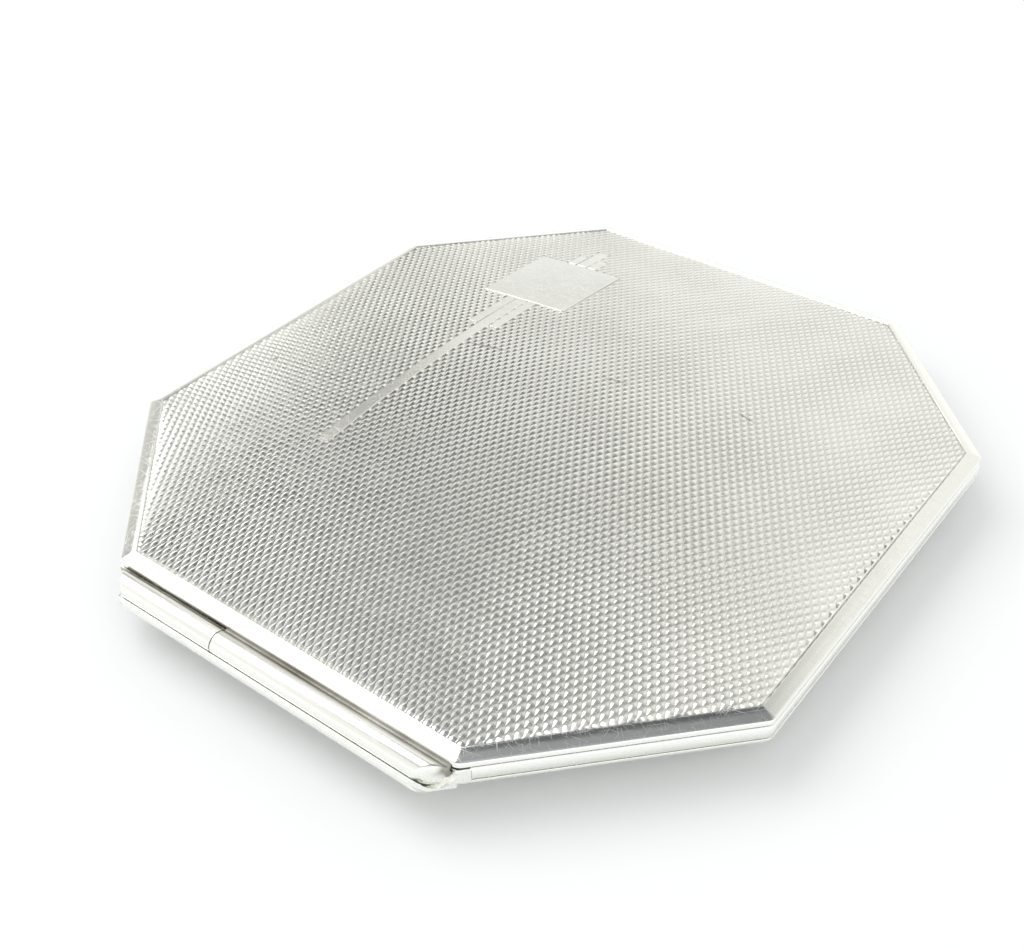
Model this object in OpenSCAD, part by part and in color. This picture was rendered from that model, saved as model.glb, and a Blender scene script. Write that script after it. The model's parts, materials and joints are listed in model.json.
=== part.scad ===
// Octagonal silver powder compact with a domed, engine-turned lid.
// +Y is the front with the push-piece, -Y is the hinge edge, and Z = 0 is the flat it rests on.

/* [Case outline] */
// Half of the width across the two side edges
half_w = 38; // [36:0.5:40]
// Half of the depth from the hinge edge to the front edge
half_d = 40.6; // [39:0.2:42]
// Length that a cut corner takes off the front and back edges
cut_x = 17.8; // [16:0.2:19]
// Length that a cut corner takes off the side edges
cut_y = 18.9; // [17:0.2:20]
// Radius that softens the eight outer corners
corner_r = 1.2; // [0.8:0.1:1.6]
// Width of the plain border round the lid and round the underside
border_w = 1.57; // [1.4:0.01:1.8]

/* [Case height] */
// Gauge of the silver sheet
sheet = 0.5; // [0.45:0.05:0.55]
// Height of the pillow shape under the base
foot_h = 3.3; // [3.2:0.05:3.6]
// Height that a border drops from its inner line to the outer edge
bevel_h = 0.4; // [0.3:0.05:0.5]
// Height of the base's side, from its lower edge to the seam with the lid
base_side_h = 1.8; // [1.7:0.05:2]
// Gap between the closed lid and the base
seam_gap = 0.15; // [0.1:0.05:0.2]
// Height of the lid's upright side
lid_side_h = 0.5; // [0.4:0.05:0.6]
// Rise of the lid's dome above its border line
dome_h = 3.8; // [3.6:0.1:4.4]

/* [Main hinge] */
// Radius of the hinge barrel
barrel_r = 1.15; // [1.05:0.01:1.2]
// Radius of the hinge pin
pin_r = 0.5; // [0.4:0.05:0.6]
// Share of the barrel that belongs to the base, measured from the left end
base_share = 0.353; // [0.3:0.001:0.45]

/* [Inside] */
// Radius of the inner lid over the powder
inner_lid_r = 27.2; // [26.6:0.1:27.4]
// Thickness of the deck plate and the inner lid
plate_t = 0.5; // [0.4:0.05:0.6]
// Inset of the mirror glass from the outer edge
mirror_inset = 8.6; // [8.4:0.1:9.5]
// Thickness of the mirror glass
glass_t = 0.85; // [0.7:0.05:0.9]
// Radius of the powder puff
puff_r = 24; // [22:0.5:24.2]

/* [Catch] */
// Width of the push-piece
push_w = 8; // [6:0.5:9]
// Height of the push-piece
push_h = 0.95; // [0.8:0.05:1]
// Distance that the push-piece stands out of the front edge
push_out = 0.9; // [0.7:0.1:1.2]
// Travel of the push-piece
push_travel = 0.6; // [0.4:0.1:0.6]

/* [Hidden] */

$fn = 96;
eps = 0.01;            // Overlap that lets a cut break through a face
thin_wall = 0.55;      // Wall of the lid's side and of the bezel
arc_steps = 3;         // Steps round each softened corner
side_steps = 6;        // Steps along each side of a domed surface
dome_steps = 12;       // Rings from the middle of a dome to its border
fullness = 0.56;       // Below 1 the dome rises quickly at its border and is flat in the middle
foot_fullness = 0.5;   // The same, for the underside
foot_flat = 0.75;      // Height share at which the underside turns flat

// Heights above the table
base_edge_z = foot_h + bevel_h;
flange_z = base_edge_z + 0.35;
rim_top_z = base_edge_z + base_side_h;
lid_side_z = rim_top_z + seam_gap;
lid_edge_z = lid_side_z + lid_side_h;
line_z = lid_edge_z + bevel_h;
bezel_top_z = lid_side_z + 0.27;
deck_z = foot_h;
deck_top_z = deck_z + plate_t;
well_floor_z = 0.95;
well_sheet = 0.3;
mirror_z = lid_edge_z - 0.3;
lip_t = 0.25;

// Insets of the upright walls from the outer edge
bezel_in = 0.85;
deck_in = 3;

// Main hinge
axis_y = -(half_d + barrel_r);
axis_z = lid_edge_z - 1.2;
trough_r = barrel_r + 0.12;
cradle_lip_y = axis_y - barrel_r - 0.4;
pin_fit = 0.05;        // Radial clearance of a moving knuckle on its pin
knuckle_gap = 0.1;
half_barrel = half_w - cut_x;
split_x = half_barrel * (2 * base_share - 1);

// Inner hinge
inner_axis_y = -(inner_lid_r + 1.7);
inner_barrel_r = 0.75;
inner_pin_r = 0.35;
inner_axis_z = deck_top_z + 0.35;
inner_half = 4.9;      // Half length of the moving knuckle
deck_knuckle_len = 4;
opening_r = inner_lid_r + 0.2;

// Catch
push_z = rim_top_z - 1.25;
slot_play = 0.12;
bezel_face_y = half_d - bezel_in - thin_wall;
shoulder_y = bezel_face_y - 0.1;
shoulder_back_y = shoulder_y - 1.9;
spring_t = 0.2;
spring_half = 10;
spring_rise = 1.75;
guide_half = 12.6;
guide_z = push_z + 0.6;
rivet_x = guide_half - 0.9;
guide_front_y = shoulder_back_y - push_travel - 0.1;
guide_back_y = shoulder_back_y - 2;
rivet_y = (guide_front_y + guide_back_y) / 2;

// The octagon's eight sides: the way each one faces, and its distance from the middle
cut_angle = atan2(cut_x, cut_y);
side_angle = [
    0, cut_angle, 90, 180 - cut_angle, 180,
    180 + cut_angle, 270, 360 - cut_angle, 360
];
cut_reach = (half_w - cut_x) * cos(cut_angle) + half_d * sin(cut_angle);
side_reach = [for (i = [0:8]) i % 2 == 1 ? cut_reach : i % 4 == 0 ? half_w : half_d];

function side_normal(i) = [cos(side_angle[i]), sin(side_angle[i])];

// Corner between side i and the next one, with every side moved in by inset
function corner(i, inset) =
    let (n1 = side_normal(i), n2 = side_normal(i + 1))
    let (a = side_reach[i] - inset, b = side_reach[i + 1] - inset)
    [a * n2.y - b * n1.y, b * n1.x - a * n2.x] / (n1.x * n2.y - n1.y * n2.x);

// Points round the softened corner after side i
function corner_arc(i, inset) =
    let (r = max(corner_r - inset, 0.25))
    let (c = corner(i, inset + r))
    [
        for (k = [0:arc_steps])
            let (a = side_angle[i] + (side_angle[i + 1] - side_angle[i]) * k / arc_steps)
            c + r * [cos(a), sin(a)]
    ];

// The octagon moved in by inset, with each straight side cut into steps
function outline(inset, steps = 1) = [
    for (i = [0:7])
        let (arc = corner_arc(i, inset), next = corner_arc((i + 1) % 8, inset))
        each concat(
            arc,
            [for (k = [1:1:steps - 1]) arc[arc_steps] + (next[0] - arc[arc_steps]) * k / steps]
        )
];

// 1 in the middle of the octagon, falling to 0 at its border line
function pillow(p) =
    let (u = [for (i = [0:3]) p * side_normal(i) / (side_reach[i] - border_w)])
    max(0, (1 - u[0] * u[0]) * (1 - u[1] * u[1]) * (1 - u[2] * u[2]) * (1 - u[3] * u[3]));

function dome_z(p) = line_z + dome_h * pow(pillow(p), fullness);

function foot_z(p) = foot_h * pow(max(0, 1 - pow(pillow(p), foot_fullness) / foot_flat), 2);

function lift(points, z) = [for (p = points) [p.x, p.y, z]];

// Rings of a domed surface, close together near the border where it curves most
function dome_scale(i) = sin(90 * i / dome_steps);

function dome_ring(i) = [for (p = outline(border_w, side_steps)) p * dome_scale(i)];

function ring_at(inset, z) = lift(outline(inset, side_steps), z);

// Closed skin through rings of equal length, from a first point on top to a last one below
module skin(first, rings, last) {
    n = len(rings[0]);
    points = concat([first], [for (r = rings) each r], [last]);
    end = len(points) - 1;
    top = [for (k = [0:n - 1]) [0, 1 + (k + 1) % n, 1 + k]];
    bottom = [
        for (k = [0:n - 1])
            let (base = end - n)
            [base + k, base + (k + 1) % n, end]
    ];
    walls = [
        for (i = [0:len(rings) - 2], k = [0:n - 1])
            let (a = 1 + i * n + k, b = 1 + i * n + (k + 1) % n)
            each [[a, b, b + n], [a, b + n, a + n]]
    ];
    polyhedron(points = points, faces = concat(top, walls, bottom));
}

// Closed loop of wire round the octagon, from its section's corners as [inset, height]
module edge_wire(section) {
    rings = [for (s = section) lift(outline(s[0]), s[1])];
    n = len(rings[0]);
    m = len(rings);
    faces = [
        for (i = [0:m - 1], k = [0:n - 1])
            let (j = (i + 1) % m, l = (k + 1) % n)
            each [[i * n + k, j * n + l, i * n + l], [i * n + k, j * n + k, j * n + l]]
    ];
    polyhedron(points = [for (r = rings) each r], faces = faces);
}

// Upright octagonal wall between two insets and two heights
module octagon_wall(inset_out, inset_in, z0, z1) {
    translate([0, 0, z0])
        linear_extrude(z1 - z0)
            difference() {
                polygon(outline(inset_out));
                polygon(outline(inset_in));
            }
}

module octagon_plate(inset, z0, z1) {
    translate([0, 0, z0])
        linear_extrude(z1 - z0)
            polygon(outline(inset));
}

// Box between two corners
module box(low, high) {
    translate(low)
        cube(high - low);
}

// Rod along X from x0 to x1
module x_rod(r, x0, x1, y, z) {
    translate([x0, y, z])
        rotate([0, 90, 0])
            cylinder(r = r, h = x1 - x0);
}

// Section in Y and Z, drawn out along X
module x_bar(section, x0, x1) {
    translate([x0, 0, 0])
        rotate([90, 0, 90])
            linear_extrude(x1 - x0)
                polygon(section);
}

// Half length of the hinge edge at depth y, when its two cut corners are moved in by inset
function mitre_x(y, inset) = (cut_reach - inset + y * sin(cut_angle)) / cos(cut_angle);

// Block that ends on the planes of the two cut corners beside the hinge
module between_mitres(inset) {
    near = -half_d + 8;
    far = -half_d - 8;
    linear_extrude(line_z)
        polygon([
            [-mitre_x(near, inset), near],
            [-mitre_x(far, inset), far],
            [mitre_x(far, inset), far],
            [mitre_x(near, inset), near]
        ]);
}

module base_pan() {
    inner = [
        for (i = [1:dome_steps])
            [for (p = dome_ring(i)) [p.x, p.y, foot_z(p) + sheet]]
    ];
    edge = [
        ring_at(bezel_in, flange_z),
        ring_at(0, flange_z),
        ring_at(0, base_edge_z + 0.1),
        ring_at(0.1, base_edge_z),
        ring_at(0.8, foot_h + 0.1)
    ];
    under = [
        for (i = [dome_steps:-1:1])
            [for (p = dome_ring(i)) [p.x, p.y, foot_z(p)]]
    ];
    color("lightgray")
        skin([0, 0, sheet], concat(inner, edge, under), [0, 0, 0]);
}

// Half-round wire that forms the base's side, left out along the hinge edge
module base_rim() {
    side = base_side_h - 0.35;
    section = [
        [bezel_in, flange_z],
        [0.2, flange_z],
        [0.04, flange_z + side * 0.08],
        [-0.05, flange_z + side * 0.3],
        [-0.08, flange_z + side * 0.55],
        [-0.05, flange_z + side * 0.8],
        [0.04, flange_z + side * 0.94],
        [0.2, rim_top_z],
        [bezel_in, rim_top_z]
    ];
    color("silver")
        difference() {
            edge_wire(section);
            box(
                [-half_barrel - 2, -half_d - 1, flange_z - 1],
                [half_barrel + 2, -half_d + bezel_in + eps, rim_top_z + 1]
            );
            push_slot();
        }
}

// Upright wall that the closed lid slips over
module base_bezel() {
    color("gainsboro")
        difference() {
            octagon_wall(bezel_in, bezel_in + thin_wall, flange_z, bezel_top_z);
            push_slot();
        }
}

// Opening in the base's front for the push-piece
module push_slot() {
    box(
        [-push_w / 2 - slot_play, half_d - 3, push_z - slot_play],
        [push_w / 2 + slot_play, half_d + 1, push_z + push_h + slot_play]
    );
}

// Trough under the barrel, with the rear wall that it is part of
module hinge_cradle() {
    back = -half_d + bezel_in;
    low = base_edge_z - 0.25;
    section = [
        [back, flange_z],
        [-half_d, flange_z],
        [-half_d, low],
        [cradle_lip_y + 0.75, low],
        [cradle_lip_y + 0.35, low + 0.08],
        [cradle_lip_y + 0.1, low + 0.3],
        [cradle_lip_y, low + 0.62],
        [cradle_lip_y + 0.04, axis_z - 0.42],
        [cradle_lip_y + 0.18, axis_z - 0.28],
        [axis_y, axis_z - 0.28],
        [axis_y + trough_r * 0.8, rim_top_z],
        [back, rim_top_z]
    ];
    color("silver")
        difference() {
            intersection() {
                x_bar(section, -half_barrel - 3, half_barrel + 3);
                between_mitres(-0.1);
            }
            x_rod(trough_r, -half_barrel - 4, half_barrel + 4, axis_y, axis_z);
        }
}

// Left length of the barrel, soldered into the trough
module base_knuckle() {
    color("silver")
        difference() {
            intersection() {
                union() {
                    x_rod(barrel_r, -half_barrel - 3, split_x, axis_y, axis_z);
                    intersection() {
                        x_rod(trough_r, -half_barrel - 3, split_x, axis_y, axis_z);
                        box(
                            [-half_barrel - 4, axis_y - 2, axis_z - 2],
                            [split_x + 1, axis_y + 2, axis_z - 0.3]
                        );
                    }
                }
                between_mitres(0.3);
            }
            x_rod(pin_r, -half_barrel - 4, split_x + 1, axis_y, axis_z);
        }
}

// Pin through the whole barrel, filed flush with both ends
module hinge_pin() {
    color("darkgray")
        intersection() {
            x_rod(pin_r, -half_barrel - 3, half_barrel + 3, axis_y, axis_z);
            between_mitres(0.3);
        }
}

// Plate that closes the base round the powder well
module powder_deck() {
    color("khaki")
        difference() {
            octagon_plate(deck_in, deck_z, deck_top_z);
            translate([0, 0, deck_z - eps])
                cylinder(r = opening_r, h = plate_t + 2 * eps);
            // Finger notch under the lift tab
            translate([0, opening_r, deck_z - eps])
                cylinder(r = 4.5, h = plate_t + 2 * eps);
            // Slot for the inner hinge
            box(
                [-inner_half - deck_knuckle_len - 0.3, inner_axis_y - 0.95, deck_z - eps],
                [inner_half + deck_knuckle_len + 0.3, inner_axis_y + 4, deck_top_z + eps]
            );
            rivet_holes();
        }
}

module rivet_holes() {
    for (side = [-1, 1])
        translate([side * rivet_x, rivet_y, deck_z - eps])
            cylinder(r = 0.4, h = guide_z - deck_z + 1);
}

// Round cup under the deck, with a flange that the inner lid shuts on
module powder_well() {
    cup_r = inner_lid_r - 0.2;
    color("khaki")
        difference() {
            union() {
                translate([0, 0, well_floor_z])
                    cylinder(r = cup_r, h = deck_z - well_floor_z);
                translate([0, 0, deck_z - 0.4])
                    cylinder(r = opening_r + 1.1, h = 0.4);
            }
            translate([0, 0, well_floor_z + well_sheet])
                cylinder(r = cup_r - 0.6, h = deck_z);
            // Clearance for the inner hinge
            box(
                [-inner_half - deck_knuckle_len - 0.3, inner_axis_y - 0.95, deck_z - 1],
                [inner_half + deck_knuckle_len + 0.3, inner_axis_y + 0.95, deck_z + eps]
            );
        }
}

// Thin metal pan that the pressed powder comes in
module refill_pan() {
    pan_r = inner_lid_r - 1;
    floor_z = well_floor_z + well_sheet;
    color("lightsteelblue")
        difference() {
            translate([0, 0, floor_z])
                cylinder(r = pan_r, h = 1.6);
            translate([0, 0, floor_z + 0.2])
                cylinder(r = pan_r - 0.25, h = 2);
        }
}

module powder_cake() {
    color("peachpuff")
        translate([0, 0, well_floor_z + well_sheet + 0.2])
            cylinder(r = inner_lid_r - 1.25, h = 1.35);
}

// Two fixed knuckles of the inner hinge, each on a foot soldered to the deck
module deck_knuckles() {
    color("khaki")
        for (side = [-1, 1]) {
            x0 = side < 0 ? -inner_half - knuckle_gap - deck_knuckle_len : inner_half + knuckle_gap;
            difference() {
                union() {
                    x_rod(inner_barrel_r, x0, x0 + deck_knuckle_len, inner_axis_y, inner_axis_z);
                    box(
                        [x0, inner_axis_y - 2.4, deck_top_z],
                        [x0 + deck_knuckle_len, inner_axis_y, deck_top_z + 0.35]
                    );
                }
                x_rod(inner_pin_r, x0 - 1, x0 + deck_knuckle_len + 1, inner_axis_y, inner_axis_z);
            }
        }
}

module inner_hinge_pin() {
    half = inner_half + knuckle_gap + deck_knuckle_len;
    color("darkgray")
        x_rod(inner_pin_r, -half, half, inner_axis_y, inner_axis_z);
}

// Bowed leaf spring that holds the push-piece out
module catch_spring() {
    r = (pow(spring_half, 2) + pow(spring_rise, 2)) / (2 * spring_rise);
    half_angle = asin(spring_half / r);
    color("darkgray")
        translate([0, shoulder_back_y - 0.02 - r, push_z - 0.25])
            rotate([0, 0, 90 - half_angle])
                rotate_extrude(angle = 2 * half_angle)
                    translate([r - spring_t, 0])
                        square([spring_t, 0.8]);
}

// Bridge over the spring, with a back wall and a foot at each end
module catch_guide() {
    wall_y = guide_back_y - 0.4;
    color("khaki")
        difference() {
            union() {
                box([-guide_half, wall_y, guide_z], [guide_half, guide_front_y, guide_z + lip_t]);
                box([-guide_half, wall_y, deck_top_z], [guide_half, guide_back_y, guide_z]);
                for (side = [-1, 1])
                    box(
                        [side * rivet_x - 0.9, guide_back_y, deck_top_z],
                        [side * rivet_x + 0.9, guide_front_y, guide_z]
                    );
            }
            rivet_holes();
        }
}

module guide_rivets() {
    color("darkgoldenrod")
        for (side = [-1, 1])
            translate([side * rivet_x, rivet_y, deck_z]) {
                cylinder(r = 0.4, h = guide_z + lip_t - deck_z);
                translate([0, 0, guide_z + lip_t - deck_z])
                    cylinder(r = 0.7, h = 0.22);
            }
}

// Push-piece with its shoulders behind the bezel and a nose that holds the lid's tongue
module push_piece() {
    nose_top = push_z + push_h + 0.7;
    nose_y = shoulder_back_y + 0.1;
    color("silver") {
        difference() {
            box(
                [-push_w / 2, shoulder_back_y, push_z],
                [push_w / 2, half_d + push_out, push_z + push_h]
            );
            // Thumb groove in the outer face
            translate([0, half_d + push_out + 0.55, push_z - 1])
                cylinder(r = 0.8, h = push_h + 2);
        }
        box(
            [-push_w / 2 - 1.5, shoulder_back_y, deck_top_z + 0.1],
            [push_w / 2 + 1.5, shoulder_y, push_z + push_h]
        );
        box([-1.8, nose_y, push_z + push_h], [1.8, nose_y + 0.75, nose_top]);
        box([-1.8, nose_y, nose_top - 0.3], [1.8, nose_y + 1.1, nose_top]);
    }
}

// Flat round lid over the powder, with a fine turned step round its edge
module inner_lid() {
    color("khaki")
        difference() {
            translate([0, 0, deck_z])
                cylinder(r = inner_lid_r, h = plate_t);
            translate([0, 0, deck_top_z - 0.12])
                difference() {
                    cylinder(r = inner_lid_r - 1.2, h = 1);
                    translate([0, 0, -1])
                        cylinder(r = inner_lid_r - 1.6, h = 3);
                }
        }
}

// Moving knuckle of the inner hinge, with the leaf that is soldered on the inner lid
module inner_lid_knuckle() {
    color("khaki")
        difference() {
            union() {
                x_rod(inner_barrel_r, -inner_half, inner_half, inner_axis_y, inner_axis_z);
                box(
                    [-inner_half, inner_axis_y, deck_top_z],
                    [inner_half, -puff_r - 0.6, deck_top_z + 0.3]
                );
            }
            x_rod(inner_pin_r + pin_fit, -inner_half - 1, inner_half + 1, inner_axis_y, inner_axis_z);
        }
}

// Finger tab on the front of the inner lid
module lift_tab() {
    color("khaki") {
        box([-3, puff_r + 0.6, deck_top_z], [3, inner_lid_r + 2.6, deck_top_z + 0.3]);
        box([-3, inner_lid_r + 2.3, deck_top_z + 0.3], [3, inner_lid_r + 2.6, deck_top_z + 1]);
    }
}

module puff_pad() {
    color("mistyrose")
        translate([0, 0, deck_top_z + 0.05])
            cylinder(r = puff_r, h = 1.2);
}

module puff_back() {
    color("lightpink")
        translate([0, 0, deck_top_z + 1.25])
            cylinder(r = puff_r - 0.5, h = 0.35);
}

// Ribbon across the back of the puff, for the fingers
module puff_strap() {
    color("lightpink")
        box([-puff_r + 3, -3.5, deck_top_z + 1.6], [puff_r - 3, 3.5, deck_top_z + 1.9]);
}

// Domed top, plain border and short upright side, all one sheet
module lid_cover() {
    top = [
        for (i = [1:dome_steps])
            [for (p = dome_ring(i)) [p.x, p.y, dome_z(p)]]
    ];
    edge = [
        ring_at(0.75, lid_edge_z + bevel_h * 0.62),
        ring_at(0.25, lid_edge_z + bevel_h * 0.2),
        ring_at(0, lid_edge_z - 0.08),
        ring_at(0, lid_side_z),
        ring_at(thin_wall, lid_side_z),
        ring_at(thin_wall, line_z - sheet - 0.1)
    ];
    under = [
        for (i = [dome_steps:-1:1])
            [for (p = dome_ring(i)) [p.x, p.y, dome_z(p) - sheet]]
    ];
    color("silver")
        skin(
            [0, 0, line_z + dome_h],
            concat(top, edge, under),
            [0, 0, line_z + dome_h - sheet]
        );
}

// Right length of the barrel, with the leaf that joins it to the lid's side
module lid_knuckle() {
    leaf = [
        [axis_y + barrel_r * 0.3, axis_z + barrel_r * 0.95],
        [axis_y + barrel_r * 0.62, axis_z + barrel_r * 0.85],
        [axis_y + barrel_r * 0.86, axis_z + barrel_r * 0.87],
        [-half_d, lid_edge_z - 0.12],
        [-half_d, lid_side_z],
        [axis_y + barrel_r * 0.82, axis_z + barrel_r * 0.55],
        [axis_y + barrel_r * 0.6, axis_z + barrel_r * 0.5]
    ];
    color("silver")
        difference() {
            intersection() {
                union() {
                    x_rod(barrel_r, split_x + knuckle_gap, half_barrel + 3, axis_y, axis_z);
                    x_bar(leaf, split_x + knuckle_gap, half_barrel + 3);
                }
                between_mitres(0.3);
            }
            x_rod(pin_r + pin_fit, split_x - 1, half_barrel + 4, axis_y, axis_z);
        }
}

// Tongue inside the lid's front, whose lip lies under the push-piece's nose
module lid_tongue() {
    nose_tip = shoulder_back_y + 1.2;
    lip_z = push_z + push_h + 0.1;
    color("gainsboro") {
        box([-1.8, nose_tip + 0.28, lip_z], [1.8, nose_tip + 0.55, line_z - sheet + 0.15]);
        box([-1.8, nose_tip + 0.06, lip_z], [1.8, nose_tip + 0.28, lip_z + 0.2]);
    }
}

// Frame soldered inside the dome, with a lip that holds the mirror's edge
module mirror_frame() {
    outer_in = mirror_inset - 0.9;
    color("khaki") {
        octagon_wall(outer_in, mirror_inset, mirror_z, mirror_z + glass_t);
        octagon_wall(outer_in, mirror_inset + 0.8, mirror_z - lip_t, mirror_z);
    }
}

module mirror_glass() {
    color("aliceblue")
        octagon_plate(mirror_inset, mirror_z, mirror_z + glass_t);
}

// Card packing between the mirror and the dome
module mirror_pad() {
    color("dimgray")
        octagon_plate(mirror_inset + 3, mirror_z + glass_t, mirror_z + glass_t + 0.4);
}

base_pan();
base_rim();
base_bezel();
hinge_cradle();
base_knuckle();
hinge_pin();
powder_deck();
powder_well();
refill_pan();
powder_cake();
deck_knuckles();
inner_hinge_pin();
catch_spring();
catch_guide();
guide_rivets();
push_piece();
inner_lid();
inner_lid_knuckle();
lift_tab();
puff_pad();
puff_back();
puff_strap();
lid_cover();
lid_knuckle();
lid_tongue();
mirror_frame();
mirror_pad();
mirror_glass();
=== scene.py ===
# %% [markdown]
# # An octagonal silver powder compact
# The closed compact is two domed silver sheets on a long barrel hinge. The lid is engine-turned all over,
# inside a plain polished border. Inside are a gilt deck, pressed powder under a small hinged lid, a velour
# puff and a bevelled mirror. The CAD frame gives every size and every joint. This lesson dresses it.

import json
import math

import bmesh
import bpy
import numpy as np
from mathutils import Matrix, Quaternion, Vector


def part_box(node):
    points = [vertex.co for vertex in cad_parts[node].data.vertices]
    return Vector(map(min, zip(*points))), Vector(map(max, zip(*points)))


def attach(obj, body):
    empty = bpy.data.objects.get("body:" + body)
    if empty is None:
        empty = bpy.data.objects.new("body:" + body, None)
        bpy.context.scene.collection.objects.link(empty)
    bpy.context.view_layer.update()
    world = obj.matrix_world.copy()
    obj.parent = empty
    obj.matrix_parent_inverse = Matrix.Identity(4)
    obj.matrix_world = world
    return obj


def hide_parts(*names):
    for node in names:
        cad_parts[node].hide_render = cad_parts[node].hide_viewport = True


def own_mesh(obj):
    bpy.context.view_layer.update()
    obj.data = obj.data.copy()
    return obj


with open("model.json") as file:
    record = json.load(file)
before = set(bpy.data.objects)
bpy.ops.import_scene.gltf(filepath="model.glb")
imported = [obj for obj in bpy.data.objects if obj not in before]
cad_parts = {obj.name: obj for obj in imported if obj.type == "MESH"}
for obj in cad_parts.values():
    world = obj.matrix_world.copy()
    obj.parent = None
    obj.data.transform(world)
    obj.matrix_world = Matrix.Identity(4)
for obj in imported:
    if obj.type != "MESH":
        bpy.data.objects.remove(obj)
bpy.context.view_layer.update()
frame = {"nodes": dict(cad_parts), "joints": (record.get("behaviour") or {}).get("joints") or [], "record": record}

MM = 0.001

# %% [markdown]
# ## The camera
# A portrait of something this small is taken from close by, with a slightly long lens. The camera stands
# over the right end of the hinge and looks down on the case. A tiny roll keeps the table level.

# %% Camera
camera_data = bpy.data.cameras.new("camera")
camera_data.sensor_width = 36
camera_data.lens = 46.84
camera_data.clip_start = 0.01
camera = bpy.data.objects.new("camera", camera_data)
bpy.context.collection.objects.link(camera)
bpy.context.scene.camera = camera

camera_place = Vector((65.7, -91.4, 88.75)) * MM
looks_back = Vector((0.482, -0.620, 0.619))
camera_roll = Quaternion((0, 0, 1), math.radians(-0.88))
camera.location = camera_place
camera.rotation_mode = "QUATERNION"
camera.rotation_quaternion = looks_back.to_track_quat("Z", "Y") @ camera_roll
print("camera distance from the middle of the table:", round(camera_place.length / MM), "mm")

# %% [markdown]
# ## Colours and nodes
# Blender computes in linear light, and colours are easier to choose as the hex codes of a paint program.
# One function turns one into the other. A second one adds a shader node, sets it up and links it.


# %% Two small tools for materials
def linear(code):
    """The linear colour, with alpha, of an sRGB hex code."""
    channels = [int(code[i : i + 2], 16) / 255 for i in (1, 3, 5)]
    return (*[c / 12.92 if c <= 0.04045 else ((c + 0.055) / 1.055) ** 2.4 for c in channels], 1)


def add(tree, kind, inputs=None, stops=None, **settings):
    """Add a node. Inputs take a value or another node's socket. Stops are a ramp's (place, colour) pairs."""
    node = tree.nodes.new(kind)
    for name, value in settings.items():
        setattr(node, name, value)
    for key, value in (inputs or {}).items():
        if isinstance(value, bpy.types.NodeSocket):
            tree.links.new(value, node.inputs[key])
        else:
            node.inputs[key].default_value = value
    if stops:
        ramp = node.color_ramp.elements
        while len(ramp) < len(stops):
            ramp.new(1)
        for element, (place, colour) in zip(ramp, stops):
            element.position = place
            element.color = colour if isinstance(colour, tuple) else (colour, colour, colour, 1)
    return node


def new_material(name):
    """A material with an empty tree but for its output and one Principled shader."""
    material = bpy.data.materials.new(name)
    material.use_nodes = True
    tree = material.node_tree
    shader = tree.nodes["Principled BSDF"]
    place = add(tree, "ShaderNodeTexCoord").outputs["Object"]
    millimetres = add(tree, "ShaderNodeVectorMath", {0: place, 1: (1 / MM,) * 3}, operation="MULTIPLY")
    return material, tree, shader, millimetres.outputs[0]


# %% [markdown]
# ## Wear that every metal shares
# A handbag leaves long fine scratches that run every way, and a cloth leaves cloudy patches of lower shine.
# Both can be read from noise: stretched almost into lines for the scratches, and left round for the clouds.
# Real scratches are a few hundredths of a millimetre wide. These are drawn about 0.06 mm wide, or none
# would show.


# %% Scratches and clouds
def scratches(tree, place, angles, fineness=9.0, length=0.35, amount=0.08):
    """From 0 to 1, thin lines along each angle in degrees. Fineness is lines per millimetre across."""
    total = None
    for index, angle in enumerate(angles):
        turned = add(
            tree,
            "ShaderNodeMapping",
            {0: place, "Location": (7.3 * index, 3.1, 0), "Rotation": (0, 0, math.radians(angle))},
        )
        stretched = add(
            tree,
            "ShaderNodeVectorMath",
            {0: turned.outputs[0], 1: (length, fineness, 1.5)},
            operation="MULTIPLY",
        )
        drawn_out = {"Vector": stretched.outputs[0], "Scale": 1.0, "Detail": 2.0}
        noise = add(tree, "ShaderNodeTexNoise", drawn_out)
        line = add(
            tree,
            "ShaderNodeMapRange",
            {0: noise.outputs["Fac"], 1: 0.70 - amount, 2: 0.78 - amount},
        ).outputs[0]
        total = line if total is None else add(
            tree, "ShaderNodeMath", {0: total, 1: line}, operation="MAXIMUM"
        ).outputs[0]
    return total


def clouds(tree, place, size, low=0.35, high=0.65, detail=3.0):
    """From 0 to 1, soft patches about size millimetres across."""
    noise = add(tree, "ShaderNodeTexNoise", {"Vector": place, "Scale": 1 / size, "Detail": detail})
    return add(tree, "ShaderNodeMapRange", {0: noise.outputs["Fac"], 1: low, 2: high}).outputs[0]


def blend_colour(tree, share, first, second):
    """First colour where share is 0, second where it is 1."""
    mixed = add(tree, "ShaderNodeMix", {0: share, 6: first, 7: second}, data_type="RGBA")
    return mixed.outputs[2]


def sums(tree, *terms):
    """Base value plus each (mask, weight)."""
    total = terms[0]
    for mask, weight in terms[1:]:
        total = add(
            tree, "ShaderNodeMath", {0: mask, 1: weight, 2: total}, operation="MULTIPLY_ADD"
        ).outputs[0]
    return total


# %% [markdown]
# ## Sterling silver
# Sterling is 92.5% silver. Rolled, pressed and polished it is the whitest of metals, with a faint warmth.
# Tarnish is brown silver sulphide, which stays where a polishing cloth can't reach: in the bottom of each
# engine-turned cut and along the engraved lines. The mesh carries a number, cut_depth, that is 0 on top of
# the grain and 1 at the bottom of a cut, and the material reads it to place the tarnish. On the hinge barrel
# the same number and dark colour are painted shade of the hollow beside the lid, with some real dirt.

# %% Silver
SILVER = linear("#F6F6F1")
# The dark colour: real tarnish in the cuts, and painted shade with some dirt in the hinge barrel's hollow
TARNISH_AND_SHADE = linear("#6E675A")


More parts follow.
